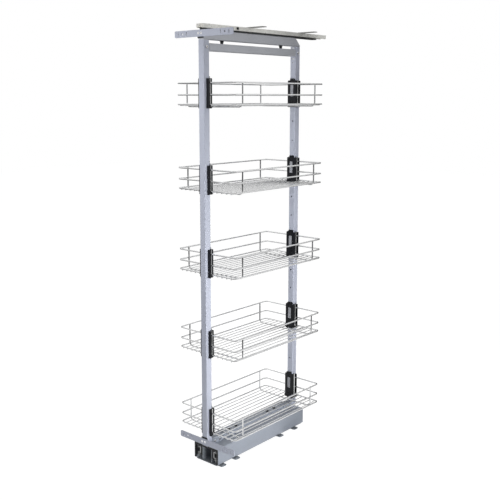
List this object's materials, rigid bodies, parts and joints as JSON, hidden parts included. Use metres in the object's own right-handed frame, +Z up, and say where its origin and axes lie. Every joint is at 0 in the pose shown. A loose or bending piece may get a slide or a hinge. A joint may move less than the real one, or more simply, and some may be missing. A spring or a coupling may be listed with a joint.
{
  "type": "pull-out pantry frame",
  "caption": "Tall pull-out pantry frame: two square posts on a ball-slide base and ceiling guide rail, with chrome wire baskets hung on clip brackets and flat bars for a door.",
  "frame": {"origin": "middle of the base plate's underside, on the cabinet floor", "axes": "+X to the right seen from the door, +Y into the cabinet, +Z up; the frame pulls out along -Y"},
  "size_m": [0.274, 0.666, 1.489],
  "materials": {
    "frame_paint": "satin silver-grey powder coat",
    "cover_paint": "satin grey powder coat",
    "base_paint": "satin grey powder coat",
    "slide_steel": "rolled, bright zinc",
    "zinc": "bright zinc plate",
    "bright_steel": "bright zinc plate",
    "dark_steel": "black oxide",
    "black_plastic": "fine moulded texture",
    "grey_plastic": "fine moulded texture",
    "nylon": "satin",
    "chrome_wire": "bright chrome plate"
  },
  "bodies": {
    "base": {"base_plate": "base_paint", "slide_spacers": "black_plastic", "left_base_rail": "slide_steel", "right_base_rail": "slide_steel", "base_rail_rivets": "bright_steel", "ceiling_rail": "zinc", "front_ceiling_strap": "zinc", "rear_ceiling_strap": "zinc", "strap_rivets": "bright_steel", "rail_stops": "black_plastic"},
    "frame": {"carriage_cover": "cover_paint", "front_trim": "black_plastic", "left_cover_rail": "slide_steel", "right_cover_rail": "slide_steel", "cover_rail_rivets": "cover_paint", "bottom_beam": "cover_paint", "beam_bolts": "dark_steel", "front_shoe": "cover_paint", "rear_shoe": "cover_paint", "shoe_bolts": "bright_steel", "front_post": "frame_paint", "rear_post": "frame_paint", "crossbar": "frame_paint", "lock_screws": "bright_steel", "front_spigot": "slide_steel", "rear_spigot": "slide_steel", "top_beam": "frame_paint", "top_runner": "dark_steel", "runner_bolts": "dark_steel", "cone_nuts": "dark_steel", "roller_pins": "bright_steel", "upper_door_bar": "frame_paint", "lower_door_bar": "frame_paint", "bar_pads": "black_plastic", "bar_screws": "bright_steel", "bracket_inserts": "grey_plastic", "bracket_screws": "dark_steel", "front_bracket_1": "black_plastic", "front_bracket_2": "black_plastic", "front_bracket_3": "black_plastic", "front_bracket_4": "black_plastic", "front_bracket_5": "black_plastic", "rear_bracket_1": "black_plastic", "rear_bracket_2": "black_plastic", "rear_bracket_3": "black_plastic", "rear_bracket_4": "black_plastic", "rear_bracket_5": "black_plastic"},
    "mid_slides": {"left_mid_rail": "slide_steel", "right_mid_rail": "slide_steel"},
    "inner_cages": {"inner_ball_cages": "slide_steel"},
    "outer_cages": {"outer_ball_cages": "slide_steel"},
    "front_roller": {"front_guide_roller": "nylon"},
    "rear_roller": {"rear_guide_roller": "nylon"},
    "basket_1": {"basket_1": "chrome_wire"},
    "basket_2": {"basket_2": "chrome_wire"},
    "basket_3": {"basket_3": "chrome_wire"},
    "basket_4": {"basket_4": "chrome_wire"},
    "basket_5": {"basket_5": "chrome_wire"}
  },
  "joints": [
    {"name": "pull_out", "type": "slide", "parent": "base", "child": "frame", "axis": [0, -1, 0], "range_m": [0, 0.46]},
    {"name": "mid_slide", "type": "slide", "parent": "base", "child": "mid_slides", "axis": [0, -1, 0], "range_m": [0, 0.231]},
    {"name": "inner_cage_slide", "type": "slide", "parent": "base", "child": "inner_cages", "axis": [0, -1, 0], "range_m": [0, 0.116]},
    {"name": "outer_cage_slide", "type": "slide", "parent": "base", "child": "outer_cages", "axis": [0, -1, 0], "range_m": [0, 0.346]},
    {"name": "front_roller_spin", "type": "hinge", "parent": "frame", "child": "front_roller", "pos_m": [0, 0.2385, 1.48], "axis": [0, 0, 1], "continuous": true},
    {"name": "rear_roller_spin", "type": "hinge", "parent": "frame", "child": "rear_roller", "pos_m": [0, 0.3385, 1.48], "axis": [0, 0, 1], "continuous": true},
    {"name": "basket_1_lift", "type": "slide", "parent": "frame", "child": "basket_1", "axis": [0, 0, 1], "range_m": [0, 0.088]},
    {"name": "basket_2_lift", "type": "slide", "parent": "frame", "child": "basket_2", "axis": [0, 0, 1], "range_m": [0, 0.088]},
    {"name": "basket_3_lift", "type": "slide", "parent": "frame", "child": "basket_3", "axis": [0, 0, 1], "range_m": [0, 0.088]},
    {"name": "basket_4_lift", "type": "slide", "parent": "frame", "child": "basket_4", "axis": [0, 0, 1], "range_m": [0, 0.088]},
    {"name": "basket_5_lift", "type": "slide", "parent": "frame", "child": "basket_5", "axis": [0, 0, 1], "range_m": [0, 0.088]}
  ],
  "couplings": [
    {"joint": "mid_slide", "follows": "pull_out", "ratio": 0.5},
    {"joint": "inner_cage_slide", "follows": "pull_out", "ratio": 0.25},
    {"joint": "outer_cage_slide", "follows": "pull_out", "ratio": 0.75}
  ]
}
